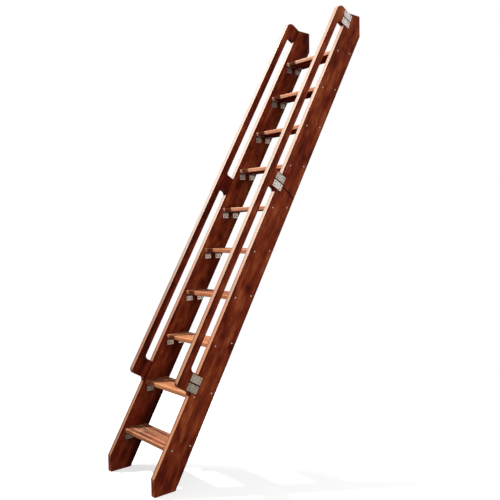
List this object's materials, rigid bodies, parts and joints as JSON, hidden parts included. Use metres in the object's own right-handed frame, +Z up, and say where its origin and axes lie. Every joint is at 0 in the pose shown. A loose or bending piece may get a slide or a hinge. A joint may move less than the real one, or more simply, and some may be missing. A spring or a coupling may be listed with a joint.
{
  "type": "bunk bed ladder",
  "caption": "Leaning wooden ladder to a high bunk: flat board treads on steel corner brackets between two plank stringers, with sawn handrails joined on by steel plates.",
  "frame": {"origin": "middle of the left stringer's foot, on the floor", "axes": "+X across the ladder from the left stringer to the right one, +Y from the climber towards the bed, +Z up"},
  "size_m": [0.492, 1.6204, 2.754],
  "materials": {
    "stringer_wood": "dark red-brown stain under satin varnish",
    "handrail_wood": "dark red-brown stain under satin varnish",
    "tread_wood": "red-brown stain worn lighter by feet, satin varnish",
    "bracket_steel": "zinc plated",
    "plate_steel": "zinc plated"
  },
  "bodies": {
    "root": {"left_stringer": "stringer_wood", "left_handrail": "handrail_wood", "right_stringer": "stringer_wood", "right_handrail": "handrail_wood", "tread_01": "tread_wood", "tread_02": "tread_wood", "tread_03": "tread_wood", "tread_04": "tread_wood", "tread_05": "tread_wood", "tread_06": "tread_wood", "tread_07": "tread_wood", "tread_08": "tread_wood", "tread_09": "tread_wood", "tread_10": "tread_wood", "left_brackets_01": "bracket_steel", "left_brackets_02": "bracket_steel", "left_brackets_03": "bracket_steel", "left_brackets_04": "bracket_steel", "left_brackets_05": "bracket_steel", "left_brackets_06": "bracket_steel", "left_brackets_07": "bracket_steel", "left_brackets_08": "bracket_steel", "left_brackets_09": "bracket_steel", "left_brackets_10": "bracket_steel", "left_bottom_plates": "plate_steel", "left_middle_plates": "plate_steel", "left_top_plates": "plate_steel", "right_brackets_01": "bracket_steel", "right_brackets_02": "bracket_steel", "right_brackets_03": "bracket_steel", "right_brackets_04": "bracket_steel", "right_brackets_05": "bracket_steel", "right_brackets_06": "bracket_steel", "right_brackets_07": "bracket_steel", "right_brackets_08": "bracket_steel", "right_brackets_09": "bracket_steel", "right_brackets_10": "bracket_steel", "right_bottom_plates": "plate_steel", "right_middle_plates": "plate_steel", "right_top_plates": "plate_steel"}
  },
  "joints": []
}
